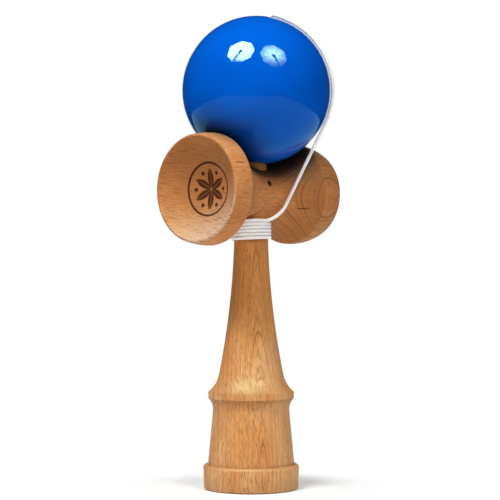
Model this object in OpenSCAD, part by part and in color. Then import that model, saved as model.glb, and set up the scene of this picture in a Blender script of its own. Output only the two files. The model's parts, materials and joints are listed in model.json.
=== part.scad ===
// Kendama: a turned stick, a cross-piece with two cups, and a lacquered ball tied on by a string.
// Millimetres, +Z up. The origin is the centre of the stick's foot, on the surface it stands on.
// The big cup faces -X, the small cup faces +X, and -Y is the front.

/* [Stick base] */
// Diameter of the base ring
base_ring_d = 38.8; // [36:0.2:44]
// Diameter of the base ring at its foot
base_foot_d = 38.2; // [36:0.2:44]
// Height of the base ring
base_ring_h = 10; // [8:0.5:14]
// Rounding of the base ring's upper edge
base_edge_round = 1.3; // [0.5:0.1:1.6]
// Bevel of the base ring's foot
base_foot_bevel = 0.5; // [0.2:0.1:0.8]
// Diameter of the base cup at its mouth
base_cup_d = 34; // [28:0.5:35]
// Depth of the base cup
base_cup_depth = 6.3; // [4:0.1:8]

/* [Stick body] */
// Diameter of the body where it leaves the base ring
body_foot_d = 35; // [33:0.2:36]
// Diameter of the neck below the collar
neck_d = 30.9; // [28:0.1:33]
// Height of the neck
neck_z = 32; // [28:0.5:34]
// Diameter of the collar
collar_d = 34.7; // [33.5:0.1:37]
// Hollow radius below the collar
collar_cove_r = 6.9; // [5:0.1:8]
// Hollow radius of the shoulder above the collar
shoulder_cove_r = 12; // [10:0.5:14]
// Height of the centre of the shoulder's hollow
shoulder_cove_z = 48.6; // [47.5:0.1:50]
// Hollow radius of the long waisted shaft
shaft_sweep_r = 320; // [280:5:360]
// Diameter of the shaft at its slimmest
shaft_d = 13.5; // [12.5:0.1:14.5]
// Height at which the shaft is slimmest
shaft_top_z = 109.5; // [106:0.5:111]
// Diameter of the spike where it leaves the cross-piece
spike_root_d = 12.7; // [11:0.1:13.2]
// Diameter of the spike at its rounded tip
spike_tip_d = 5.2; // [4:0.1:7]
// Length of the stick from foot to tip
stick_l = 168; // [160:0.5:169]

/* [Cross-piece] */
// Height of the cross-piece's axis
cross_z = 120.2; // [119:0.1:122]
// Diameter of the waist
waist_d = 20.8; // [19:0.1:23]
// Distance from the stick's axis to the big cup's rim
big_reach = 33; // [30:0.5:36]
// Distance from the stick's axis to the small cup's rim
small_reach = 34.7; // [31:0.1:37]
// Largest diameter of the big cup
big_cup_d = 44.6; // [42:0.2:48]
// Diameter of the big cup's mouth
big_mouth_d = 40.8; // [36:0.2:41]
// Depth of the big cup's hollow
big_cup_depth = 9.3; // [6:0.1:11]
// Largest diameter of the small cup
small_cup_d = 41.5; // [39:0.1:44]
// Diameter of the small cup's mouth
small_mouth_d = 34.6; // [30:0.2:35]
// Depth of the small cup's hollow
small_cup_depth = 7.7; // [5:0.1:9]
// Rounding of the cups' lips
lip_round = 0.8; // [0.3:0.1:1]
// Rounding of the ridges behind the cups
ridge_round = 1.2; // [0.5:0.1:2]
// Diameter of the string holes through the waist
string_hole_d = 2.4; // [2:0.1:3]
// Height of the string holes above the cross-piece's axis
string_hole_rise = 3; // [2:0.1:4]

/* [Ball] */
// Diameter of the ball
ball_d = 60; // [56:0.5:64]
// Diameter of the hole for the spike
bore_d = 22; // [21.4:0.1:24]
// Diameter of that hole at its inner end
bore_end_d = 17; // [15:0.5:19]
// Diameter of the hole for the string
cord_hole_d = 2.6; // [2:0.1:3.4]
// Diameter of the string hole's flared mouth
cord_mouth_d = 5; // [4:0.1:6]
// Gap between the ball and the waist it nests in
nest_gap = 0.4; // [0.3:0.05:0.8]
// Lean of the ball about the cross-piece's axis, in degrees
ball_roll = 3.9; // [0:0.1:4.5]
// Tilt of the ball's own axis, in degrees
ball_tilt = 13.5; // [0:0.5:14]

/* [String] */
// Thickness of the string
string_d = 1.4; // [1.2:0.05:1.4]
// Rise of each loop round the stick
loop_pitch = 1.38; // [1.36:0.01:1.5]
// Whole loops round the stick
loops = 5; // [3:1:6]
// Height of the first loop
winding_z = 100.9; // [100:0.1:101.5]
// Diameter of the bead inside the ball
bead_d = 7.2; // [6:0.1:8]
// Diameter of the knots
knot_d = 2.4; // [2:0.1:2.6]

/* [Hidden] */

WOOD = "burlywood";
LACQUER = "royalblue";
CORD = "white";
$fn = 96;

// Play between the stick and the cross-piece pressed onto it
seat_play = 0.05;
// Play between a knot, a bead and what they rest on
knot_play = 0.15;
// Play between the string and the stick under it
loop_play = 0.13;
// Gap kept between neighbouring loops, taken off the string's thickness
loop_gap = 0.45;
// Overrun of every cut
cut = 2;
// Radius of the arc across the big cup's side and the small cup's
big_crown_r = 45;
small_crown_r = 26;
// Distance from each rim to the top of that arc
big_crown_in = 9.5;
small_crown_in = 10.2;
// Length of the straight part of the spike's hole, as a share of the ball's diameter
bore_straight_share = 0.42;
// Where the flats that round a corner meet, as shares of its bend
flat_shares = [0.2, 0.4, 0.6, 0.8];
// Half the angle of the drill point at the hole's inner end
bore_point_angle = 59;
// Place of the hole's inner shoulder above the ball's centre, as a share of the ball's diameter
bore_shoulder_share = 0.2;
// Where the winding starts, at the back, and the part of a loop it adds before the string leaves
winding_start_angle = 90;
winding_end_angle = 247;
// Play between the string and the ball under it
ball_play = 0.15;
// Side of the ball that the string passes, turned from the small cup's side towards the front
run_side_angle = 48.5;
// Where the string meets the ball and where it leaves it, turned from the ball's top, and the steps between
run_low_angle = 103;
run_high_angle = 7;
run_step_angle = 6;
// Fineness of the shaft's long arc, which uses a small part of a large circle
sweep_fn = 720;
// Rings and sides of the string's tubes
loop_rings = 24;
loop_sides = 6;
run_sides = 8;

base_ring_r = base_ring_d / 2;
base_foot_r = base_foot_d / 2;
neck_r = neck_d / 2;
collar_r = collar_d / 2;
shaft_r = shaft_d / 2;
spike_root_r = spike_root_d / 2;
spike_tip_r = spike_tip_d / 2;
waist_r = waist_d / 2;
big_r = big_cup_d / 2;
small_r = small_cup_d / 2;
ball_r = ball_d / 2;
bore_r = bore_d / 2;
tube_d = string_d - loop_gap;
loop_r = shaft_r + string_d / 2 + loop_play;
spike_root_z = cross_z + waist_r;

// The waist is hollowed to the ball's own curve
flare_r = ball_r + nest_gap;
flare_centre = waist_r + flare_r;
ball_at = [0, -flare_centre * sin(ball_roll), cross_z + flare_centre * cos(ball_roll)];

// The shoulder's hollow runs smoothly into the shaft's
shaft_centre = [shaft_r + shaft_sweep_r, shaft_top_z];
shoulder_link = shaft_sweep_r - shoulder_cove_r;
shoulder_drop = shaft_top_z - shoulder_cove_z;
shoulder_centre = [shaft_centre[0] - across(shoulder_link, shoulder_drop), shoulder_cove_z];
shoulder_join_z = shaft_top_z - shoulder_drop * shaft_sweep_r / shoulder_link;

// Ball hole, measured along the ball's own axis from its centre
bore_shoulder_z = ball_d * bore_shoulder_share;
bore_straight_z = ball_d * bore_straight_share - ball_r;
bore_end_r = bore_end_d / 2;
bore_point_z = bore_shoulder_z + bore_end_r / tan(bore_point_angle);
bead_z = bore_point_z - (bead_d / 2 + knot_play) / sin(bore_point_angle);
bead_knot_z = bead_z - bead_d / 2 - knot_d / 2 - knot_play;
cord_mouth_depth = (cord_mouth_d - cord_hole_d) / 2;
tail_top_z = ball_r - cord_mouth_depth - knot_play;

// String knot inside the waist, at the back
hole_z = cross_z + string_hole_rise;
knot_y = shaft_r + knot_play + knot_d / 2;
pocket_d = knot_d + knot_play * 2;
pocket_y = knot_y + knot_d / 2 + knot_play;

// Where the string comes out of the back of the waist and goes down to the first loop
lead_points = [
    [0, 9.4, 123.2], [0, 11.2, 123.2], [0.1, 12.8, 122.6], [0.3, 13.8, 121.2], [0.6, 14.1, 119.3],
    [1.1, 13.6, 116.5], [1.8, 12.8, 113.5], [2.6, 11.9, 110.5], [3.3, 11, 107.5], [3.8, 10.2, 104.8],
    [3.7, 9.4, 102.6], [2.8, 8.6, 101.3], [1.4, 7.9, 100.85]
];

// The string from the last loop up past the cross-piece to the ball
run_start_points = [
    [-1.9, -7.4, 108.4], [0.5, -8.5, 108.5], [2.5, -10, 109.5], [4.5, -11, 111], [6.5, -11.7, 113],
    [8, -12.5, 116], [9.5, -13.75, 120], [11, -15, 124], [12.5, -16.25, 128], [14, -17.5, 132],
    [15.5, -18.75, 136], [17, -20, 140], [18.5, -21.25, 144]
];
// Its part turn round the ball, in one plane with the ball's axis
run_r = ball_r + string_d / 2 + ball_play;
ball_axis = [0, -sin(ball_tilt), cos(ball_tilt)];
run_side = [cos(run_side_angle), -sin(run_side_angle) * cos(ball_tilt),
    -sin(run_side_angle) * sin(ball_tilt)];
run_turn_points = [for (turn = [run_low_angle : -run_step_angle : run_high_angle])
    ball_at + run_r * (cos(turn) * ball_axis + sin(turn) * run_side)];
// Its bend over the ball's top and into the hole
run_end_points = [[1, -11, 190.6], [0, -9.8, 189.8], [0, -9.6, 188.9]];
run_points = concat(run_start_points, run_turn_points, run_end_points);

function unit(v) = v / norm(v);

// Short side of a right triangle, from its long side and its other short side
function across(long, short) = sqrt(long * long - short * short);

// Radius of the ball-shaped hollow that has a given mouth and depth
function dish_r(mouth_d, depth) = (mouth_d * mouth_d / 4 + depth * depth) / (2 * depth);

// Radius of the stick between the shaft's slimmest place and the spike's root
function seat_r(z) = shaft_r + (spike_root_r - shaft_r) * (z - shaft_top_z) / (spike_root_z - shaft_top_z);

// Point at given distances from two points, on the left going from the first to the second
function meet(p, p_r, q, q_r) =
    let (gap = norm(q - p), along = (gap * gap + p_r * p_r - q_r * q_r) / (2 * gap), dir = (q - p) / gap)
    p + dir * along + [-dir[1], dir[0]] * across(p_r, along);

// Tube along points, with triangles for its faces
function travel(points) = [for (i = [0 : len(points) - 1])
    unit(points[min(i + 1, len(points) - 1)] - points[max(i - 1, 0)])];
function sides_of(points, first) =
    let (ways = travel(points))
    [for (i = 0, side = unit(first - ways[0] * (first * ways[0])); i < len(points); i = i + 1,
          side = i < len(points) ? unit(side - ways[i] * (side * ways[i])) : side) side];
function ring(centre, way, side, r, n) =
    [for (k = [0 : n - 1]) centre + r * (cos(360 * k / n) * side + sin(360 * k / n) * cross(way, side))];
function skin(rings, n) = concat(
    [for (i = [0 : rings - 2], k = [0 : n - 1]) [i * n + k, (i + 1) * n + k, i * n + (k + 1) % n]],
    [for (i = [0 : rings - 2], k = [0 : n - 1])
        [i * n + (k + 1) % n, (i + 1) * n + k, (i + 1) * n + (k + 1) % n]],
    [for (k = [1 : n - 2]) [0, k, k + 1]],
    [for (k = [1 : n - 2]) [(rings - 1) * n, (rings - 1) * n + k + 1, (rings - 1) * n + k]]);

module tube(points, d, n, first) {
    ways = travel(points);
    sides = sides_of(points, first);
    polyhedron(
        points = [for (i = [0 : len(points) - 1]) each ring(points[i], ways[i], sides[i], d / 2, n)],
        faces = skin(len(points), n));
}

// Loops round the stick, from the back to where the string leaves in front
loop_turn = loops * 360 + winding_end_angle - winding_start_angle;
loop_steps = round(loop_turn / 360 * loop_rings);
function loop_point(turn) = [
    loop_r * cos(winding_start_angle + turn),
    loop_r * sin(winding_start_angle + turn),
    winding_z + loop_pitch * turn / 360
];
loop_points = [for (i = [0 : loop_steps]) loop_point(loop_turn * i / loop_steps)];
leave_way = unit(loop_point(loop_turn) - loop_point(loop_turn - 360 / loop_rings));
leave_points = [loop_points[loop_steps] + leave_way * tube_d];
winding_points = concat(lead_points, loop_points, leave_points);
least_gap = min([for (i = [0 : len(winding_points) - 1], j = [i + loop_rings / 2 : len(winding_points) - 1])
    norm(winding_points[i] - winding_points[j]) - tube_d]);
echo(least_gap_of_winding = least_gap);

// Stick: half outline, radius across and height up
module stick_outline() {
    difference() {
        union() {
            polygon([[0, 0], [base_foot_r - base_foot_bevel, 0], [base_foot_r, base_foot_bevel],
                     [base_ring_r, base_ring_h - base_edge_round], [0, base_ring_h - base_edge_round]]);
            square([base_ring_r - base_edge_round, base_ring_h]);
            translate([base_ring_r - base_edge_round, base_ring_h - base_edge_round])
                circle(r = base_edge_round);
            polygon([[0, 0], [body_foot_d / 2, base_ring_h], [neck_r, neck_z], [0, neck_z]]);
            collar_outline();
            shaft_outline();
            polygon([[0, shaft_top_z], [shaft_r, shaft_top_z], [spike_root_r, spike_root_z],
                     [spike_tip_r, stick_l - spike_tip_r], [0, stick_l - spike_tip_r]]);
            translate([0, stick_l - spike_tip_r])
                intersection() {
                    circle(r = spike_tip_r);
                    square(spike_tip_r);
                }
        }
        cup_r = dish_r(base_cup_d, base_cup_depth);
        translate([0, base_cup_depth - cup_r]) circle(r = cup_r);
    }
}

module collar_outline() {
    difference() {
        translate([0, neck_z]) square([collar_r, shoulder_join_z - neck_z]);
        translate([neck_r + collar_cove_r, neck_z]) circle(r = collar_cove_r);
        translate(shoulder_centre) circle(r = shoulder_cove_r);
    }
}

module shaft_outline() {
    difference() {
        translate([0, shoulder_join_z]) square([collar_r, shaft_top_z - shoulder_join_z]);
        translate(shaft_centre) circle(r = shaft_sweep_r, $fn = sweep_fn);
    }
}

module ken_stick() {
    color(WOOD) rotate_extrude() stick_outline();
}

// One cup of the cross-piece: half outline, radius across and distance from the stick up
module cup_block(largest_r, reach, arc_r, arc_in) {
    intersection() {
        translate([largest_r - arc_r, reach - arc_in]) circle(r = arc_r);
        translate([0, -waist_r]) square([largest_r, reach + waist_r]);
    }
}

// What is turned away from that cup: its lip's corner, the ridge behind it and its hollow
module cup_cuts(largest_r, reach, arc_r, arc_in, mouth_d, depth) {
    arc_at = [largest_r - arc_r, reach - arc_in];
    lip_in = arc_in - lip_round;
    lip_at = arc_at + [across(arc_r - lip_round, lip_in), lip_in];
    rounding_cut(lip_at, lip_round, unit(lip_at - arc_at), [0, 1]);
    flare_at = [flare_centre, 0];
    ridge_at = meet(arc_at, arc_r - ridge_round, flare_at, flare_r + ridge_round);
    rounding_cut(ridge_at, ridge_round, unit(ridge_at - arc_at), unit(flare_at - ridge_at));
    hollow_r = dish_r(mouth_d, depth);
    translate([0, reach - depth + hollow_r]) circle(r = hollow_r);
}

// Rounds a corner about a centre in short flats, from one way to another
module rounding_cut(centre, r, first_way, last_way) {
    flats = [for (share = flat_shares) centre + r * unit(first_way * (1 - share) + last_way * share)];
    before = 2 * (centre + r * first_way) - flats[0];
    after = 2 * (centre + r * last_way) - flats[len(flats) - 1];
    outside = centre + 4 * r * unit(first_way + last_way);
    polygon(concat([before], flats, [after, outside]));
}

module cross_outline() {
    difference() {
        union() {
            cup_block(small_r, small_reach, small_crown_r, small_crown_in);
            mirror([0, 1]) cup_block(big_r, big_reach, big_crown_r, big_crown_in);
        }
        translate([flare_centre, 0]) circle(r = flare_r);
        cup_cuts(small_r, small_reach, small_crown_r, small_crown_in, small_mouth_d, small_cup_depth);
        mirror([0, 1])
            cup_cuts(big_r, big_reach, big_crown_r, big_crown_in, big_mouth_d, big_cup_depth);
    }
}

module sarado_cross() {
    color(WOOD)
        difference() {
            translate([0, 0, cross_z]) rotate([0, 90, 0]) rotate_extrude() cross_outline();
            translate([0, 0, cross_z - waist_r - cut])
                cylinder(
                    h = 2 * (waist_r + cut),
                    r1 = seat_r(cross_z - waist_r - cut) + seat_play,
                    r2 = seat_r(cross_z + waist_r + cut) + seat_play);
            translate([0, waist_r + cut, hole_z])
                rotate([90, 0, 0]) cylinder(h = 2 * (waist_r + cut), d = string_hole_d);
            translate([0, pocket_y, hole_z])
                rotate([90, 0, 0]) cylinder(h = pocket_y, d = pocket_d);
        }
}

// Sets a shape drawn about the ball's own axis in the ball's place
module in_ball() {
    translate(ball_at) rotate([ball_tilt, 0, 0]) children();
}

module tama_ball() {
    color(LACQUER)
        in_ball()
            difference() {
                sphere(r = ball_r);
                rotate_extrude()
                    polygon([[0, -ball_r - cut], [bore_r, -ball_r - cut], [bore_r, bore_straight_z],
                             [bore_end_r, bore_shoulder_z], [0, bore_point_z]]);
                cylinder(h = ball_r + cut, d = cord_hole_d);
                translate([0, 0, ball_r - cord_mouth_depth])
                    cylinder(
                        h = cord_mouth_depth + cut,
                        d1 = cord_hole_d,
                        d2 = cord_mouth_d + cut * 2);
            }
}

module bead() {
    color(WOOD)
        in_ball()
            difference() {
                translate([0, 0, bead_z]) sphere(d = bead_d);
                translate([0, 0, bead_z - bead_d / 2 - cut])
                    cylinder(h = bead_d + 2 * cut, d = string_d + knot_play);
            }
}

module bead_knot() {
    color(CORD) in_ball() translate([0, 0, bead_knot_z]) sphere(d = knot_d);
}

module string_tail() {
    color(CORD)
        in_ball()
            translate([0, 0, bead_knot_z + knot_d / 2])
                cylinder(h = tail_top_z - bead_knot_z - knot_d / 2, d = tube_d);
}

module string_run() {
    color(CORD) tube(run_points, tube_d, run_sides, [0, 0, 1]);
}

module string_winding() {
    color(CORD) tube(winding_points, tube_d, loop_sides, [0, 0, 1]);
}

module string_knot() {
    color(CORD) translate([0, knot_y, hole_z]) sphere(d = knot_d);
}

ken_stick();
sarado_cross();
tama_ball();
bead();
bead_knot();
string_tail();
string_run();
string_winding();
string_knot();
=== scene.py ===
import json
import math

import bpy
import numpy as np
from mathutils import Matrix, Vector


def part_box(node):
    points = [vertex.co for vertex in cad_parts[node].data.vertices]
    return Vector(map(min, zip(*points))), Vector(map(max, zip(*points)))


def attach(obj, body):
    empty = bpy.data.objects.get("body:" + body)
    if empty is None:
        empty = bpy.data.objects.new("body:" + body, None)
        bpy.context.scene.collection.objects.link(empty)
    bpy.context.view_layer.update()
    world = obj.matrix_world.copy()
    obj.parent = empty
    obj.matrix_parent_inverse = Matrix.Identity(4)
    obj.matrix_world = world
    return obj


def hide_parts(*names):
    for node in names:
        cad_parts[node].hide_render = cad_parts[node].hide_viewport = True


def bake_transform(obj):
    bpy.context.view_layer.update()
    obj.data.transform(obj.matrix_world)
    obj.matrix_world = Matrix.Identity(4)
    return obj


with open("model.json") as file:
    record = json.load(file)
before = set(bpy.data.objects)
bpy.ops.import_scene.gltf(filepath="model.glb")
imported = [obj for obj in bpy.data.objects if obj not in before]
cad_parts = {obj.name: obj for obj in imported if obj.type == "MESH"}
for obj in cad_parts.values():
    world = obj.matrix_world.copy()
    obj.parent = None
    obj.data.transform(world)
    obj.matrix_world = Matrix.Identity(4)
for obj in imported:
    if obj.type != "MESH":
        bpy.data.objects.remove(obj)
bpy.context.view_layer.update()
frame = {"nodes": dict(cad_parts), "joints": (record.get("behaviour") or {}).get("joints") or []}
scene = bpy.context.scene
scene.view_settings.view_transform = "Standard"
UP = Vector((0, 0, 1))

# Sizes and places that the solids give
spin = next(joint for joint in frame["joints"] if joint["name"] == "tama_spin")
ball_centre = Vector(spin["pos_m"])
ball_axis = Vector(spin["axis"]).normalized()
ball_low, ball_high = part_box("tama_ball")
ball_radius = (ball_high.x - ball_low.x) / 2
cross_low, cross_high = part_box("sarado_cross")
cross_height = (cross_low.z + cross_high.z) / 2
bead_knot_centre = sum(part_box("bead_knot"), Vector()) / 2
string_knot_centre = sum(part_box("string_knot"), Vector()) / 2

# Camera: level, left of the front, with its optical axis at a named pixel of the picture
CAMERA_TURN = math.radians(41.3)
CAMERA_AWAY = 0.64
CAMERA_HEIGHT = 0.084
PICTURE_PIXELS = 500
FOCAL_PIXELS = 1579
AXIS_PIXEL = (251.1, 281.1)
to_camera = Vector((-math.cos(CAMERA_TURN), -math.sin(CAMERA_TURN), 0))
camera_right = Vector((math.sin(CAMERA_TURN), -math.cos(CAMERA_TURN), 0))


def facing(place, right, up, back):
    """Matrix of an object at a place whose own axes point right, up and back."""
    turn = Matrix((right, up, back)).transposed().to_4x4()
    return Matrix.Translation(place) @ turn


def make_camera():
    data = bpy.data.cameras.new("camera")
    data.lens = FOCAL_PIXELS * data.sensor_width / PICTURE_PIXELS
    data.shift_x = 0.5 - AXIS_PIXEL[0] / PICTURE_PIXELS
    data.shift_y = AXIS_PIXEL[1] / PICTURE_PIXELS - 0.5
    camera = bpy.data.objects.new("camera", data)
    scene.collection.objects.link(camera)
    place = to_camera * CAMERA_AWAY + UP * CAMERA_HEIGHT
    camera.matrix_world = facing(place, camera_right, UP, to_camera)
    scene.camera = camera


make_camera()

# String: out of the cross-piece's back, round the stick, past the small cup, over the ball and into its top
STRING_THICK = 0.0014
LOOP_RADIUS = 0.00758
LOOP_RISE = 0.00138
LOOP_START_HEIGHT = 0.1009
LOOP_START_ANGLE = 90
LOOP_TURN = 5 * 360 + 157
LOOP_STEP = 15
LEAD_ROUTE = [
    (0, 0.0094, 0.1232), (0, 0.0112, 0.1232), (0.0001, 0.0128, 0.1226), (0.0003, 0.0138, 0.1212),
    (0.0006, 0.0141, 0.1193), (0.0011, 0.0136, 0.1165), (0.0018, 0.0128, 0.1135), (0.0026, 0.0119, 0.1105),
    (0.0033, 0.011, 0.1075), (0.0038, 0.0102, 0.1048), (0.0037, 0.0094, 0.1026), (0.0028, 0.0086, 0.1013),
    (0.0014, 0.0079, 0.10085),
]
RUN_START_ROUTE = [
    (-0.0019, -0.0074, 0.1084), (0.0005, -0.0085, 0.1085), (0.0025, -0.01, 0.1095), (0.0045, -0.011, 0.111),
    (0.0065, -0.0117, 0.113), (0.008, -0.0125, 0.116), (0.0095, -0.01375, 0.12), (0.011, -0.015, 0.124),
    (0.0125, -0.01625, 0.128), (0.014, -0.0175, 0.132), (0.0155, -0.01875, 0.136), (0.017, -0.02, 0.14),
    (0.0185, -0.02125, 0.144),
]
# Part turn round the ball: the side it passes, where it meets and leaves the ball, its steps and its play
RUN_SIDE_ANGLE = 48.5
RUN_LOW_ANGLE = 103
RUN_HIGH_ANGLE = 7
RUN_STEP_ANGLE = 6
BALL_PLAY = 0.00015
RUN_END_ROUTE = [(0.001, -0.011, 0.1906), (0, -0.0098, 0.1898), (0, -0.0096, 0.1889)]
# Where the string goes on inside the ball, as distances above its centre
HOLE_STEPS = (0.0265, 0.023, 0.0195, 0.016, 0.0125, 0.0095)
# Braid: crossings round the string, their step along it, its furrows' depth and the height of a strand's ends
BRAID_CROSSINGS = 6
BRAID_STEP = 0.0008
BRAID_DEPTH_SHARE = 0.14
STRAND_END_SHARE = 0.55
TUBE_SIDES = 24
TUBE_STEP = 0.00018
# Places worked out on the smooth curve between two points of a route
CURVE_STEPS = 24
# A direction that no string or knot starts in
ASKEW = (1.0, 0.3, 0.2)


def loop_route():
    points = []
    for turn in range(LOOP_STEP, LOOP_TURN + 1, LOOP_STEP):
        angle = math.radians(LOOP_START_ANGLE + turn)
        height = LOOP_START_HEIGHT + LOOP_RISE * turn / 360
        points.append((LOOP_RADIUS * math.cos(angle), LOOP_RADIUS * math.sin(angle), height))
    return points


def ball_route():
    """The string's way up round the ball, in one plane with the ball's axis."""
    across = Vector((1, 0, 0))
    behind = ball_axis.cross(across)
    passing = math.radians(RUN_SIDE_ANGLE)
    side = across * math.cos(passing) - behind * math.sin(passing)
    reach = ball_radius + STRING_THICK / 2 + BALL_PLAY
    points = []
    for turn in range(RUN_LOW_ANGLE, RUN_HIGH_ANGLE - 1, -RUN_STEP_ANGLE):
        angle = math.radians(turn)
        points.append(tuple(ball_centre + (ball_axis * math.cos(angle) + side * math.sin(angle)) * reach))
    return points


def smooth_line(points, step):
    """Points about a step apart on the smooth curve through the given ones."""
    p = np.array(points, float)
    p = np.vstack([2 * p[0] - p[1], p, 2 * p[-1] - p[-2]])
    shares = np.linspace(0, 1, CURVE_STEPS, endpoint=False)[:, None]
    pieces = []
    for a, b, c, d in zip(p[:-3], p[1:-2], p[2:-1], p[3:]):
        pieces.append(
            b + shares * (c - a) / 2 + shares**2 * (a - 2.5 * b + 2 * c - d / 2)
            + shares**3 * (1.5 * (b - c) + (d - a) / 2)
        )
    dense = np.vstack([*pieces, p[-2:-1]])
    along = np.concatenate([[0], np.cumsum(np.linalg.norm(np.diff(dense, axis=0), axis=1))])
    at = np.linspace(0, along[-1], round(along[-1] / step) + 1)
    return np.stack([np.interp(at, along, dense[:, axis]) for axis in range(3)], axis=1), at


def carried_sides(line):
    """For each point of a line, two directions across it that turn as little as they can."""
    ways = np.gradient(line, axis=0)
    ways /= np.linalg.norm(ways, axis=1)[:, None]
    side = np.cross(ways[0], ASKEW)
    firsts = []
    for way in ways:
        side = side - way * side.dot(way)
        side /= np.linalg.norm(side)
        firsts.append(side)
    firsts = np.array(firsts)
    return firsts, np.cross(ways, firsts)


def braid_height(turn, along):
    """Height of a braid's surface, from 0 in its furrows to 1 on its strands."""
    right = BRAID_CROSSINGS * turn + along / BRAID_STEP
    left = BRAID_CROSSINGS * turn - along / BRAID_STEP
    right_over = (np.floor(right) + np.floor(left)) % 2 == 0
    across = np.where(right_over, right % 1, left % 1)
    lengthwise = np.where(right_over, left % 1, right % 1)
    arch = STRAND_END_SHARE + (1 - STRAND_END_SHARE) * np.sin(math.pi * lengthwise)
    return np.sqrt(np.sin(math.pi * across)) * arch


def tube_mesh(name, line, radii):
    """Closed tube round a line, with a radius for each of its points and sides."""
    rings, sides = radii.shape
    firsts, seconds = carried_sides(line)
    angles = np.linspace(0, 2 * math.pi, sides, endpoint=False)
    cosines = np.cos(angles)[None, :, None]
    sines = np.sin(angles)[None, :, None]
    across = cosines * firsts[:, None] + sines * seconds[:, None]
    points = (line[:, None] + across * radii[:, :, None]).reshape(-1, 3)
    faces = []
    for ring in range(rings - 1):
        for side in range(sides):
            after = (side + 1) % sides
            low, high = ring * sides, (ring + 1) * sides
            faces.append((low + side, low + after, high + after, high + side))
    faces.append(tuple(reversed(range(sides))))
    faces.append(tuple(range((rings - 1) * sides, rings * sides)))
    mesh = bpy.data.meshes.new(name)
    mesh.from_pydata(points.tolist(), [], faces)
    mesh.shade_smooth()
    piece = bpy.data.objects.new(name, mesh)
    scene.collection.objects.link(piece)
    return piece


def braided(name, points):
    line, along = smooth_line(points, TUBE_STEP)
    turns = np.linspace(0, 1, TUBE_SIDES, endpoint=False)
    height = braid_height(turns[None, :], along[:, None])
    radii = STRING_THICK / 2 * (1 - BRAID_DEPTH_SHARE * (1 - height))
    return tube_mesh(name, line, radii), line


# Knots: one crossed-over loop each, of string that is drawn tight and so is thinner
KNOT_SIZE = 0.0024
KNOT_TUBE = 0.00085
KNOT_POINTS = 60
KNOT_SIDES = 12
KNOT_LOBES = 3
KNOT_TURNS = 2
KNOT_RISE_SHARE = 0.75


def tight_knot(name, centre, axis):
    """A small pulled-tight knot round an axis."""
    reach = (KNOT_SIZE - KNOT_TUBE) / 2
    turn = UP.rotation_difference(axis).to_matrix()
    points = []
    for step in range(KNOT_POINTS):
        angle = 2 * math.pi * step / KNOT_POINTS
        around = KNOT_TURNS * angle
        out = reach * (KNOT_TURNS + math.cos(KNOT_LOBES * angle)) / KNOT_LOBES
        rise = reach * math.sin(KNOT_LOBES * angle) * KNOT_RISE_SHARE
        points.append(centre + turn @ Vector((out * math.cos(around), out * math.sin(around), rise)))
    line = np.array([*points, points[0]], float)
    radii = np.full((len(line), KNOT_SIDES), KNOT_TUBE / 2)
    return tube_mesh(name, line, radii)


hole_route = [tuple(ball_centre + ball_axis * height) for height in HOLE_STEPS]
run_route = [*RUN_START_ROUTE, *ball_route(), *RUN_END_ROUTE]
string, string_line = braided("play_string", [*LEAD_ROUTE, *loop_route(), *run_route, *hole_route])
bead_knot = tight_knot("bead_stop_knot", bead_knot_centre, ball_axis)
cross_knot = tight_knot("cross_piece_knot", string_knot_centre, Vector((0, 1, 0)))


# Shader sums are written as expressions on wires
class Wire:
    """A value's socket: sums with it add Math nodes."""

    def __init__(self, finish, socket):
        self.finish = finish
        self.socket = socket

    def math(self, operation, *others):
        return self.finish.add("Math", {"operation": operation}, dict(enumerate([self, *others])))

    def __add__(self, other):
        return self.math("ADD", other)

    def __sub__(self, other):
        return self.math("SUBTRACT", other)

    def __rsub__(self, other):
        return self.finish.add("Math", {"operation": "SUBTRACT"}, {0: other, 1: self})

    def __mul__(self, other):
        return self.math("MULTIPLY", other)

    def __truediv__(self, other):
        return self.math("DIVIDE", other)

    def __pow__(self, other):
        return self.math("POWER", other)

    __radd__ = __add__
    __rmul__ = __mul__

    def step(self, low, high):
        """Rises smoothly from 0 at low to 1 at high."""
        settings = {"interpolation_type": "SMOOTHSTEP"}
        return self.finish.add("MapRange", settings, {"Value": self, "From Min": low, "From Max": high})


class Finish:
    """One material and the nodes that make it."""

    CREVICE_SAMPLES = 8

    def __init__(self, name, tree=None):
        self.material = None
        if tree is None:
            self.material = bpy.data.materials.new(name)
            self.material.use_nodes = True
            tree = self.material.node_tree
        self.tree = tree
        self.tree.nodes.clear()

    def add(self, kind, settings=None, sockets=None, output=0):
        """Adds a node, makes its settings, fills its sockets and gives back one of its outputs."""
        node = self.tree.nodes.new("ShaderNode" + kind)
        for name, value in (settings or {}).items():
            setattr(node, name, value)
        for name, value in (sockets or {}).items():
            if isinstance(value, Wire):
                self.tree.links.new(value.socket, node.inputs[name])
            else:
                node.inputs[name].default_value = value
        return Wire(self, node.outputs[output]) if node.outputs else None

    def dot(self, wire, direction):
        settings = {"operation": "DOT_PRODUCT"}
        return self.add("VectorMath", settings, {0: wire, 1: tuple(direction)}, "Value")

    def vector(self, x, y, z):
        return self.add("CombineXYZ", None, {0: x, 1: y, 2: z})

    def noise(self, place, scale=1.0, detail=1.0, roughness=0.5):
        sockets = {"Vector": place, "Scale": scale, "Detail": detail, "Roughness": roughness}
        return self.add("TexNoise", None, sockets)

    def painted_shade(self, reach, depth):
        """Painted shade: darkness of places that other surfaces close in, within a reach."""
        settings = {"samples": self.CREVICE_SAMPLES}
        open_share = self.add("AmbientOcclusion", settings, {"Distance": reach}, "AO")
        return (1 - open_share) * depth

    def mix(self, share, first, second):
        """Colour that goes from the first to the second with a share."""
        sockets = {0: share, 6: first, 7: second}
        return self.add("Mix", {"data_type": "RGBA"}, sockets, 2)

    def surface(self, sockets):
        shader = self.add("BsdfPrincipled", None, sockets)
        self.add("OutputMaterial", None, {"Surface": shader})
        return self.material


def colour(red, green, blue):
    return (red, green, blue, 1)


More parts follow.
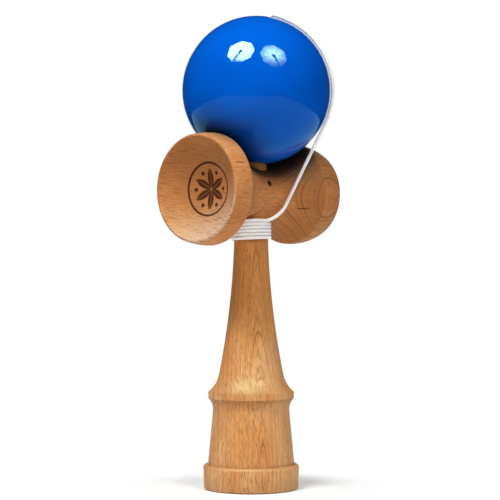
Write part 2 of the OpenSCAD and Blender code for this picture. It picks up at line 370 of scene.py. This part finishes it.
class Grain:
    """Beech cut from a log: where a point lies along the fibres, out from the heart and along the rings."""

    SWAY = 0.0016
    SWAY_SCALES = (24, 24, 11, 2)

    def __init__(self, finish, centre, fibre, outward, heart_away, ring_width, narrow=1.0):
        self.finish = finish
        self.heart_away = heart_away
        self.ring_width = ring_width
        self.narrow = narrow
        fibre, outward = fibre.normalized(), outward.normalized()
        place = finish.add("TexCoord", output="Object")
        place = finish.add("VectorMath", {"operation": "SUBTRACT"}, {0: place, 1: tuple(centre)})
        normal = finish.add("NewGeometry", output="Normal")
        self.along = finish.dot(place, fibre)
        self.outward = finish.dot(place, outward)
        self.sideways = finish.dot(place, fibre.cross(outward))
        self.height = finish.dot(place, UP)
        self.end_way = finish.dot(normal, fibre)
        self.end_face = self.end_way.math("ABSOLUTE")
        self.flat_face = finish.dot(normal, outward).math("ABSOLUTE")

    def noise(self, out_scale, side_scale, along_scale, detail=1.0):
        finish = self.finish
        place = finish.vector(self.outward * out_scale, self.sideways * side_scale, self.along * along_scale)
        return finish.noise(place, detail=detail)

    def from_heart(self):
        """Distance from the log's heart, which sways a little along the fibres."""
        sway = self.noise(*self.SWAY_SCALES) - 0.5
        out = self.outward - self.heart_away + sway * self.SWAY
        side = self.sideways * self.narrow
        return (out * out + side * side) ** 0.5


STICK_BEECH = (colour(0.86, 0.445, 0.185), colour(0.74, 0.280, 0.064))
CROSS_BEECH = (colour(0.74, 0.325, 0.118), colour(0.62, 0.230, 0.070))
END_WOOD = colour(0.42, 0.140, 0.036)
LATE_WOOD = colour(0.36, 0.150, 0.055)
RING_BROWN = colour(0.20, 0.072, 0.024)
RAY_BROWN = colour(0.36, 0.130, 0.040)
DISH_PAINTED_SHEEN = colour(0.75, 0.625, 0.480)
PORE_BROWN = colour(0.36, 0.155, 0.060)
CHECK_BROWN = colour(0.10, 0.045, 0.022)
PAINTED_SHADE_BROWN = colour(0.035, 0.022, 0.017)
SCORCH = colour(0.062, 0.013, 0.004)


# Patterns in the beech: scales outward, sideways and along the fibres, and their detail
MOTTLE_SCALES = (95, 95, 16, 3)
STREAK_SCALES = (900, 900, 25, 2)
RAY_SCALES = (240, 3600, 340, 1.5)
PORE_SCALES = (4200, 4200, 420, 1)
RIPPLE_SCALE = 8200
# Levels between which each pattern comes in
MOTTLE_EDGE = (0.30, 0.72)
STREAK_EDGE = (0.42, 0.66)
RAY_EDGE = (0.53, 0.64)
PORE_EDGE = (0.50, 0.72)
RIPPLE_EDGE = (0.5, 0.8)
# How much of each pattern shows
STREAK_SHARE = 0.20
RAY_SHARE = 0.85
PORE_SHARE = 0.25
RIPPLE_SHARE = 0.18
# Every third year was dry and left a darker ring: its thin line, and the shade that leads up to it
DRY_EVERY = 3
LINE_PART = (0.06, 0.36)
LINE_DRY_SHARE = 0.5
SHADE_PART = (0.30, 1.0)
SHADE_DRY_SHARE = 0.3
YEAR_CHANCE_SHARE = 0.2
# End grain is darker and hides the rings
END_DARK_EDGE = (0.2, 0.8)
END_DARK_SHARE = 0.5
END_HIDE_EDGE = (0.5, 0.9)
END_HIDE_SHARE = 0.85
# Rays show on flat-sawn faces, less on ends and least elsewhere
RAYS_FLAT_SHARE = 0.8
RAYS_END_SHARE = 0.6
RAYS_ELSE_SHARE = 0.15
PORE_DEPTH_SHARE = 0.5


def beech_colour(finish, grain, tones, tone, rays_shown, late_shown, shaded):
    """Colour of bare beech with painted shade mixed in, and how deep its rays and pores are."""
    reach = grain.from_heart()
    ring = reach / grain.ring_width
    year = ring.math("FLOOR")
    part = ring - year
    chance = finish.add("TexWhiteNoise", {"noise_dimensions": "1D"}, {"W": year}) * YEAR_CHANCE_SHARE
    dry = 1 - year.math("FLOORED_MODULO", DRY_EVERY).math("MINIMUM", 1.0)
    seen = late_shown * (1 - grain.end_face.step(*END_HIDE_EDGE) * END_HIDE_SHARE)
    line = (1 - part.step(*LINE_PART)) * (dry * LINE_DRY_SHARE + chance) * seen
    shade = part.step(*SHADE_PART) * (dry * SHADE_DRY_SHARE + chance) * seen
    ripple = finish.add("TexNoise", {"noise_dimensions": "1D"}, {"W": reach * RIPPLE_SCALE, "Detail": 1.0})
    mottle = grain.noise(*MOTTLE_SCALES)
    streaks = grain.noise(*STREAK_SCALES).step(*STREAK_EDGE)
    rays = grain.noise(*RAY_SCALES).step(*RAY_EDGE)
    faces = grain.flat_face * RAYS_FLAT_SHARE + grain.end_face * RAYS_END_SHARE + RAYS_ELSE_SHARE
    dashes = rays * rays_shown * faces
    pores = grain.noise(*PORE_SCALES).step(*PORE_EDGE)
    wood = finish.mix((mottle + tone).step(*MOTTLE_EDGE), *tones)
    wood = finish.mix(grain.end_face.step(*END_DARK_EDGE) * END_DARK_SHARE, wood, END_WOOD)
    wood = finish.mix(shade, wood, LATE_WOOD)
    wood = finish.mix(line, wood, RING_BROWN)
    wood = finish.mix(ripple.step(*RIPPLE_EDGE) * RIPPLE_SHARE, wood, LATE_WOOD)
    wood = finish.mix(streaks * STREAK_SHARE, wood, LATE_WOOD)
    wood = finish.mix(pores * PORE_SHARE, wood, PORE_BROWN)
    wood = finish.mix(dashes * RAY_SHARE, wood, RAY_BROWN)
    # Painted shade: the wood darkens towards a shade brown by the shaded share
    wood = finish.mix(shaded, wood, PAINTED_SHADE_BROWN)
    return wood, dashes + pores * PORE_DEPTH_SHARE


# Scale of the fine fuzz that sanding leaves, and how far it changes the roughness
FUZZ_SCALE = 900.0
FUZZ_ROUGH = 0.16


def beech_sheen(finish, relief, wood, gloss, matt):
    """Sanded beech: a soft sheen that its rays and pores break."""
    bump = finish.add("Bump", None, {"Strength": 0.35, "Distance": 0.00006, "Height": 1 - relief})
    rough = finish.noise(finish.add("TexCoord", output="Object"), FUZZ_SCALE, 2.0) * FUZZ_ROUGH + matt
    return finish.surface({
        "Base Color": wood,
        "Roughness": rough,
        "Specular IOR Level": gloss,
        "Sheen Weight": 0.04,
        "Sheen Roughness": 0.45,
        "Normal": bump,
    })


# The stick was cut close beside the log's heart, which lay in front of it, a little to the right
STICK_HEART_TURN = math.radians(16.5)
STICK_HEART_AWAY = 0.026
STICK_RINGS = 0.00105
STICK_NARROW = 2.1
STICK_LATE_SHOWN = 1.15
STICK_GLOSS = 0.2
STICK_MATT = 0.46
# Its rays fade towards one side, and it darkens upwards, partly its own tone and partly painted light and
# shade
STICK_RAYS_FADE = (-0.002, 0.005)
STICK_RAYS_LOST = 0.6
STICK_DARKENS = (0.035, 0.085)
STICK_DARK_RISE = 0.35
STICK_DARK_START = 0.1
# Painted shade where other surfaces close in on the stick
STICK_PAINTED_SHADE_REACH = 0.008
STICK_PAINTED_SHADE_DEPTH = 0.5


def stick_finish():
    finish = Finish("stick_beech")
    outward = to_camera * math.cos(STICK_HEART_TURN) + camera_right * math.sin(STICK_HEART_TURN)
    grain = Grain(finish, Vector(), UP, outward, STICK_HEART_AWAY, STICK_RINGS, STICK_NARROW)
    rays_shown = 1 - grain.sideways.step(*STICK_RAYS_FADE) * STICK_RAYS_LOST
    # Painted light and shade: paler low down where the paper's bounce lights it, darker up under the
    # cross-piece
    tone = grain.along.step(*STICK_DARKENS) * STICK_DARK_RISE - STICK_DARK_START
    shaded = finish.painted_shade(STICK_PAINTED_SHADE_REACH, STICK_PAINTED_SHADE_DEPTH)
    wood, relief = beech_colour(finish, grain, STICK_BEECH, tone, rays_shown, STICK_LATE_SHOWN, shaded)
    return beech_sheen(finish, relief, wood, STICK_GLOSS, STICK_MATT)


# Burnt rosette in the big cup: six petals drawn with a compass, a ring and dots between the petals
PETAL_LENGTH = 0.0084
PETAL_TURN = math.radians(48)
ROSETTE_RING = 0.0104
ROSETTE_LINE = 0.00050
DOT_AWAY = 0.0072
DOT_SIZE = 0.0009
BURN_EDGE = 0.00018
# A petal's middle vein is burnt less
VEIN_SHARE = 0.65
# Where the dish's bottom ends, along the cross-piece
ROSETTE_END = (-0.021, -0.020)


def burnt_rosette(finish):
    """Where the big cup's bottom is burnt, from 0 to 1."""
    place = finish.add("TexCoord", output="Object")
    x = finish.dot(place, (1, 0, 0))
    y = finish.dot(place, (0, 1, 0))
    z = finish.dot(place, (0, 0, 1)) - cross_height
    away = (y * y + z * z) ** 0.5
    sixth = math.pi / 3
    turn = z.math("ARCTAN2", y) / sixth
    fold = ((turn - turn.math("FLOOR") - 0.5).math("ABSOLUTE")) * sixth
    petal_x = away * fold.math("COSINE")
    petal_y = away * fold.math("SINE")

    def far_from(size, angle):
        dx = petal_x - size * math.cos(angle)
        dy = petal_y - size * math.sin(angle)
        return (dx * dx + dy * dy) ** 0.5

    petal_arc = PETAL_LENGTH / (2 * math.cos(PETAL_TURN))
    petals = 1 - far_from(petal_arc, -PETAL_TURN).step(petal_arc - BURN_EDGE, petal_arc)
    vein = petal_y.step(ROSETTE_LINE / 4, ROSETTE_LINE / 2)
    dots = 1 - far_from(DOT_AWAY, sixth / 2).step(DOT_SIZE - BURN_EDGE, DOT_SIZE)
    from_ring = (away - ROSETTE_RING).math("ABSOLUTE")
    ring = 1 - from_ring.step(ROSETTE_LINE - BURN_EDGE, ROSETTE_LINE)
    burnt = (petals * (vein * (1 - VEIN_SHARE) + VEIN_SHARE)).math("MAXIMUM", dots).math("MAXIMUM", ring)
    in_big_cup = 1 - x.step(*ROSETTE_END)
    return burnt * in_big_cup


# The heart of the cross-piece's log lay in front of it, a little lower
CROSS_OUTWARD = Vector((0, -1, -0.12))
CROSS_HEART_AWAY = 0.0603
CROSS_RINGS = 0.001397
# Short cracks along the fibres: where they start and end, their height and how far out they lie
CHECKS = [(0.0136, 0.0192, 0.1135, 0.010), (-0.0316, -0.0262, 0.12965, 0.0185)]
CHECK_HALF = 0.00030
CHECK_DARK_SHARE = 0.4
CHECK_TAPER = 0.0015
CHECK_FRONT_EDGE = 0.0005
CHECK_WAVES = 500.0


def drying_checks(finish):
    """Where the cross-piece's surface has short cracks, from 0 to 1."""
    place = finish.add("TexCoord", output="Object")
    x = finish.dot(place, (1, 0, 0))
    front = finish.dot(place, (0, -1, 0))
    height = finish.dot(place, (0, 0, 1)) + (finish.noise(place, CHECK_WAVES, 2.0) - 0.5) * CHECK_HALF
    cracks = 0
    for start, end, level, out in CHECKS:
        begins = x.step(start, start + CHECK_TAPER)
        ends = x.step(end - CHECK_TAPER, end)
        taper = begins * (1 - ends) * front.step(out, out + CHECK_FRONT_EDGE)
        crack = 1 - (height - level).math("ABSOLUTE").step(CHECK_HALF * CHECK_DARK_SHARE, CHECK_HALF)
        cracks = crack * taper + cracks
    return cracks


CROSS_TONE = 0.04
CROSS_GLOSS = 0.05
CROSS_MATT = 0.43
# Its rings show towards the small cup
RINGS_COME = (0.003, 0.013)
RINGS_GAIN = 1.45
RINGS_LEAST = 0.25
# Painted shade that the ball casts on the waist's upper side, and a little on its lower side
BALL_SHADE_REACH = 0.016
BALL_SHADE_DEPTH = 1.5
UPPER_SIDE = (-0.002, 0.008)
UPPER_SHADE_GAIN = 0.9
LOWER_SHADE_SHARE = 0.1
# The big cup's dish: which way its surface faces, where it ends, and the painted sheen that makes its lower
# part paler
DISH_FACING = (0.3, 0.6)
DISH_END = (-0.022, -0.018)
DISH_RAYS_GAIN = 0.45
CROSS_RAYS = 0.8
SHEEN_LEAN = 0.5
SHEEN_HEIGHT = (-0.026, -0.002)
SHEEN_SHARE = 0.62
SHEEN_RELIEF_LOST = 0.5
# Burnt wood: how evenly it is charred, its depth and its dullness
CHAR_SCALE = 2600.0
CHAR_SPREAD = 0.25
CHAR_SHARE = 0.86
BURNT_DEPTH = 1.5
BURNT_MATT = 0.35
CHECK_SHARE = 0.95
CHECK_DEPTH = 2


def cross_finish():
    finish = Finish("cross_piece_beech")
    centre = UP * cross_height
    grain = Grain(finish, centre, Vector((1, 0, 0)), CROSS_OUTWARD, CROSS_HEART_AWAY, CROSS_RINGS)
    late_shown = grain.along.step(*RINGS_COME) * RINGS_GAIN + RINGS_LEAST
    upper = grain.height.step(*UPPER_SIDE) * UPPER_SHADE_GAIN + LOWER_SHADE_SHARE
    # Painted shade under the ball
    under_ball = finish.painted_shade(BALL_SHADE_REACH, BALL_SHADE_DEPTH) * upper
    in_dish = (0 - grain.end_way).step(*DISH_FACING) * (1 - grain.along.step(*DISH_END))
    rays_shown = in_dish * DISH_RAYS_GAIN + CROSS_RAYS
    wood, relief = beech_colour(finish, grain, CROSS_BEECH, CROSS_TONE, rays_shown, late_shown, under_ball)
    # Painted sheen: the dish's lower part is mixed towards a pale colour in place of a highlight
    pale = 1 - (grain.height - grain.outward * SHEEN_LEAN).step(*SHEEN_HEIGHT)
    wood = finish.mix(in_dish * pale * (SHEEN_SHARE - relief * SHEEN_RELIEF_LOST), wood, DISH_PAINTED_SHEEN)
    burnt = burnt_rosette(finish)
    char = finish.noise(finish.add("TexCoord", output="Object"), CHAR_SCALE, 2.0)
    wood = finish.mix(burnt * (char * CHAR_SPREAD + CHAR_SHARE), wood, SCORCH)
    checks = drying_checks(finish)
    wood = finish.mix(checks * CHECK_SHARE, wood, CHECK_BROWN)
    relief = relief + burnt * BURNT_DEPTH + checks * CHECK_DEPTH
    return beech_sheen(finish, relief, wood, CROSS_GLOSS, burnt * BURNT_MATT + CROSS_MATT)


LACQUER_BLUE = colour(0.0003, 0.100, 0.57)
LACQUER_DEEP = colour(0.0002, 0.092, 0.53)
LACQUER_PAINTED_SHADE = colour(0.0006, 0.006, 0.028)
BORE_WOOD = colour(0.52, 0.27, 0.12)
# Depths under the ball's surface between which the lacquer ends in its holes
LACQUER_DEPTHS = (0.0012, 0.0004)
CLOUD_SCALE = 70.0
CLOUD_EDGE = (0.35, 0.7)
FLOW_SCALE = 160.0
# Painted shade and painted dark reflection on the lacquer where the cups close in below the ball
CUP_SHADE_REACH = 0.016
CUP_SHADE_DEPTH = 1.1


def ball_finish():
    """Glossy blue lacquer outside with painted shade near the cups, bare wood in the holes."""
    finish = Finish("blue_lacquer")
    place = finish.add("TexCoord", output="Object")
    settings = {"operation": "DISTANCE"}
    away = finish.add("VectorMath", settings, {0: place, 1: tuple(ball_centre)}, "Value")
    painted = away.step(*[ball_radius - depth for depth in LACQUER_DEPTHS])
    cloud = finish.noise(place, CLOUD_SCALE, 2.0)
    paint = finish.mix(cloud.step(*CLOUD_EDGE), LACQUER_BLUE, LACQUER_DEEP)
    paint = finish.mix(finish.painted_shade(CUP_SHADE_REACH, CUP_SHADE_DEPTH), paint, LACQUER_PAINTED_SHADE)
    fibres = finish.noise(place, FUZZ_SCALE, 2.0)
    bare = finish.mix(fibres, BORE_WOOD, CROSS_BEECH[1])
    flow = finish.noise(place, FLOW_SCALE, 1.0)
    bump = finish.add("Bump", None, {"Strength": 0.02, "Distance": 0.0002, "Height": flow})
    return finish.surface({
        "Base Color": finish.mix(painted, bare, paint),
        "Roughness": 0.6,
        "Coat Weight": painted,
        "Coat Roughness": 0.0,
        "Coat IOR": 1.27,
        "Specular IOR Level": 0.0,
        "Normal": bump,
    })


BEAD_TONE = 0.1
BEAD_RAYS = 1.0
BEAD_LATE_SHOWN = 0.6
BEAD_SHADED = 0.0


def bead_finish():
    finish = Finish("bead_beech")
    grain = Grain(finish, ball_centre, ball_axis, Vector((1, 0, 0)), CROSS_HEART_AWAY, CROSS_RINGS)
    wood, relief = beech_colour(
        finish, grain, CROSS_BEECH, BEAD_TONE, BEAD_RAYS, BEAD_LATE_SHOWN, BEAD_SHADED
    )
    return beech_sheen(finish, relief, wood, STICK_GLOSS, STICK_MATT)


STRING_WHITE = colour(0.97, 0.97, 0.97)
STRING_SHADE = colour(0.86, 0.85, 0.84)
STRING_PAINTED_SHADE = colour(0.22, 0.20, 0.19)
# The cotton glows a little of its own: painted light that keeps it bright where the lamps leave it in shade
STRING_PAINTED_GLOW = colour(1.0, 0.97, 0.92)
YARN_SCALE = 5200.0
YARN_SHARE = 0.7
COTTON_EDGE = (0.38, 0.62)
# Painted shade between the turns, where the string closes in on itself
STRING_SHADE_REACH = 0.0008
STRING_SHADE_DEPTH = 0.9


def string_finish():
    """White cotton yarn: fine fibres, a little grey between them, and painted shade between its turns."""
    finish = Finish("white_cotton")
    place = finish.add("TexCoord", output="Object")
    yarn = finish.noise(place, YARN_SCALE, 2.0, 0.6)
    fluff = finish.noise(place, FUZZ_SCALE, 2.0)
    fibres = yarn * YARN_SHARE + fluff * (1 - YARN_SHARE)
    cotton = finish.mix(fibres.step(*COTTON_EDGE), STRING_SHADE, STRING_WHITE)
    cotton = finish.mix(finish.painted_shade(STRING_SHADE_REACH, STRING_SHADE_DEPTH), cotton, STRING_PAINTED_SHADE)
    bump = finish.add("Bump", None, {"Strength": 0.5, "Distance": 0.00008, "Height": yarn})
    return finish.surface({
        "Base Color": cotton,
        "Roughness": 0.85,
        "Specular IOR Level": 0.05,
        "Sheen Weight": 0.4,
        "Emission Color": STRING_PAINTED_GLOW,
        "Emission Strength": 0.11,
        "Normal": bump,
    })


def dress(piece, material):
    piece.data.materials.clear()
    piece.data.materials.append(material)


cotton = string_finish()
dress(frame["nodes"]["ken_stick"], stick_finish())
dress(frame["nodes"]["sarado_cross"], cross_finish())
dress(frame["nodes"]["tama_ball"], ball_finish())
dress(frame["nodes"]["bead"], bead_finish())
for piece in (string, bead_knot, cross_knot):
    dress(piece, cotton)

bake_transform(string)
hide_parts("string_winding", "string_run", "string_tail")
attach(bead_knot, "tether")
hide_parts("bead_knot")
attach(cross_knot, "root")
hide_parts("string_knot")

# Paper that the toy stands on: its edges, measured from the stick
PAPER_LEFT = 0.65
PAPER_RIGHT = 0.50
PAPER_FRONT = 0.61
PAPER_BACK = 0.65
PAPER_PALE = 0.95
PAPER_BOUNCE = 0.95
# Colours of the paper and the lamps in the ball's gloss, cooled by the lacquer, and of the wall's light
GLOSS_TINT = colour(0.50, 1.0, 0.95)
LAMP_TINT = colour(0.55, 1.0, 0.60)
WALL_TINT = colour(0.92, 1.08, 0.84)
# Share of plain white in the paper as it is seen: near the toy, and the distances over which it becomes full
PAPER_GLOW = 0.25
GLOW_START = 0.030
GLOW_END = 0.060


def grey(level):
    return colour(level, level, level)


def ray(finish, kind):
    return finish.add("LightPath", output=f"Is {kind} Ray")


def paper_finish():
    """Pale paper that keeps a soft shadow and fades to white."""
    finish = Finish("pale_paper")
    place = finish.add("TexCoord", output="Object")
    away = finish.add("VectorMath", {"operation": "LENGTH"}, {0: place}, "Value")
    glow = away.step(GLOW_START, GLOW_END) * (1 - PAPER_GLOW) + PAPER_GLOW
    shaded = finish.add("BsdfDiffuse", None, {"Color": grey(PAPER_PALE)})
    white = finish.add("Emission", None, {"Color": grey(1)})
    looks = finish.add("MixShader", None, {0: glow, 1: shaded, 2: white})
    mirrored = finish.add("Emission", None, {"Color": GLOSS_TINT})
    lights = finish.add("BsdfDiffuse", None, {"Color": grey(PAPER_BOUNCE)})
    seen = ray(finish, "Camera").math("MAXIMUM", ray(finish, "Transmission"))
    surface = finish.add("MixShader", None, {0: ray(finish, "Glossy"), 1: lights, 2: mirrored})
    surface = finish.add("MixShader", None, {0: seen, 1: surface, 2: looks})
    finish.add("OutputMaterial", None, {"Surface": surface})
    return finish.material


def panel(name, corners, place, material):
    """A flat panel of the stage, whose corners are given across and up in its own plane."""
    mesh = bpy.data.meshes.new(name)
    mesh.from_pydata([(x, y, 0) for x, y in corners], [], [tuple(range(len(corners)))])
    flat = bpy.data.objects.new(name, mesh)
    scene.collection.objects.link(flat)
    flat.matrix_world = place
    dress(flat, material)
    return flat


def box_corners(left, low, right, high):
    return [(left, low), (right, low), (right, high), (left, high)]


def make_paper():
    corners = box_corners(-PAPER_LEFT, -PAPER_FRONT, PAPER_RIGHT, PAPER_BACK)
    panel("paper", corners, facing(Vector(), camera_right, -to_camera, UP), paper_finish())


# Two lamps with eight-sided faces and stems that show only in gloss, the pale backdrop and the wall's light
LAMP_WAYS = {"left": (-0.342, 0.799, 0.494), "right": (0.390, 0.718, 0.576)}
LAMP_POWER = {"left": 8.6, "right": 4.3}
LAMP_GLOW = {"left": 105.0, "right": 82.0}
LAMP_DIM_SHARE = 0.05
LAMP_RIBS = 8
# Heights in a lamp's face between which it brightens, and how far from its middle it dims again
LAMP_FADE = {"left": (-0.30, -0.14), "right": (-0.32, 0.10)}
LAMP_MIDDLE = {"left": (0.18, 0.42), "right": (0.02, 0.30)}
LAMP_EDGE_LOST = 0.75
# How far a rib darkens the cloth beside it, as shares of the cloth between two ribs
RIB_SHARES = (0.25, 0.5)
RIB_LOST = 0.45
LAMP_AWAY = 0.9
LAMP_WIDE = 0.59
LIGHT_WIDE = 0.32
STEM_LEAN = {"left": math.radians(-18), "right": math.radians(16)}
STEM_WIDE = 0.036
STEM_HEAD = 0.07
STEM_GAP = 0.02
STEM_HEAD_CORNERS = 12
BACKDROP_HALF = 0.24
BACKDROP_TOP = 0.40
BACKDROP_AWAY = 0.65
WALL_HALF = 0.80
WALL_TOP = 0.90
WALL_LIGHT = 0.35
BACKDROP_LIGHT = 1.0


def glowing(name, strength):
    finish = Finish(name)
    glow = finish.add("Emission", None, {"Color": WALL_TINT, "Strength": strength})
    finish.add("OutputMaterial", None, {"Surface": glow})
    return finish.material


def lamp_face(side):
    """Inside of a lamp's umbrella: bright in its middle, dim at its lower edge, with ribs."""
    finish = Finish(f"lamp_face_{side}")
    place = finish.add("TexCoord", output="Object")
    across = finish.dot(place, (1, 0, 0))
    over = finish.dot(place, (0, 1, 0))
    away = (across * across + over * over) ** 0.5
    turn = over.math("ARCTAN2", across) * (LAMP_RIBS / (2 * math.pi))
    from_cloth = (turn - turn.math("FLOOR") - 0.5).math("ABSOLUTE")
    cloth = 1 - from_cloth.step(*RIB_SHARES) * RIB_LOST
    middle = 1 - away.step(*LAMP_MIDDLE[side]) * LAMP_EDGE_LOST
    share = over.step(*LAMP_FADE[side]) * cloth * middle
    strength = LAMP_GLOW[side]
    dim = finish.add("Emission", None, {"Color": LAMP_TINT, "Strength": strength * LAMP_DIM_SHARE})
    bright = finish.add("Emission", None, {"Color": LAMP_TINT, "Strength": strength})
    glow = finish.add("MixShader", None, {0: share, 1: dim, 2: bright})
    finish.add("OutputMaterial", None, {"Surface": glow})
    return finish.material


def gloss_panel(name, corners, place, material, hides=False):
    """A panel that is seen only as a reflection, and may hide what is behind it."""
    flat = panel(name, corners, place, material)
    flat.visible_camera = False
    flat.visible_diffuse = False
    flat.visible_shadow = hides


def rounded(corners, wide):
    """Corners of a regular shape, one of its sides at the bottom."""
    angles = [2 * math.pi * (corner + 0.5) / corners for corner in range(corners)]
    return [(wide / 2 * math.cos(angle), wide / 2 * math.sin(angle)) for angle in angles]


def make_lamp(side):
    right, up, near = LAMP_WAYS[side]
    way = (camera_right * right + UP * up + to_camera * near).normalized()
    across = UP.cross(way).normalized()
    over = way.cross(across)
    place = ball_centre + way * LAMP_AWAY
    data = bpy.data.lights.new(f"soft_lamp_{side}", "AREA")
    data.shape = "DISK"
    data.size = LIGHT_WIDE
    data.energy = LAMP_POWER[side]
    lamp = bpy.data.objects.new(data.name, data)
    scene.collection.objects.link(lamp)
    lamp.matrix_world = facing(place, across, over, way)
    lamp.visible_glossy = False
    gloss_panel(f"lamp_face_{side}", rounded(LAMP_RIBS, LAMP_WIDE), lamp.matrix_world, lamp_face(side))
    front = facing(place - way * STEM_GAP, across, over, way)
    lean = Matrix.Rotation(STEM_LEAN[side], 4, "Z")
    stem = box_corners(-STEM_WIDE / 2, -LAMP_WIDE / 2, STEM_WIDE / 2, 0)
    dark = glowing(f"lamp_stem_{side}", 0.0)
    gloss_panel(f"lamp_stem_{side}", stem, front @ lean, dark, hides=True)
    gloss_panel(f"lamp_head_{side}", rounded(STEM_HEAD_CORNERS, STEM_HEAD), front, dark, hides=True)


def make_backdrop():
    place = facing(-to_camera * BACKDROP_AWAY, camera_right, UP, to_camera)
    corners = box_corners(-BACKDROP_HALF, 0, BACKDROP_HALF, BACKDROP_TOP)
    gloss_panel("backdrop", corners, place, glowing("backdrop", BACKDROP_LIGHT))
    corners = box_corners(-WALL_HALF, 0, WALL_HALF, WALL_TOP)
    wall = panel("pale_wall", corners, place, glowing("pale_wall", WALL_LIGHT))
    wall.visible_camera = False
    wall.visible_glossy = False


# Light of the room: white behind the toy for the eye, dim in the gloss, even on matt surfaces
ROOM_LIGHT = 0.06
ROOM_GLOSS = 0.01


def make_room():
    world = bpy.data.worlds.new("studio")
    scene.world = world
    world.use_nodes = True
    finish = Finish("studio", world.node_tree)
    even = finish.add("Background", None, {"Color": grey(ROOM_LIGHT)})
    dim = finish.add("Background", None, {"Color": grey(ROOM_GLOSS)})
    white = finish.add("Background", None, {"Color": grey(1)})
    unseen = finish.add("MixShader", None, {0: ray(finish, "Glossy"), 1: even, 2: dim})
    seen = ray(finish, "Camera").math("MAXIMUM", ray(finish, "Transmission"))
    light = finish.add("MixShader", None, {0: seen, 1: unseen, 2: white})
    finish.add("OutputWorld", None, {"Surface": light})


make_paper()
make_lamp("left")
make_lamp("right")
make_backdrop()
make_room()
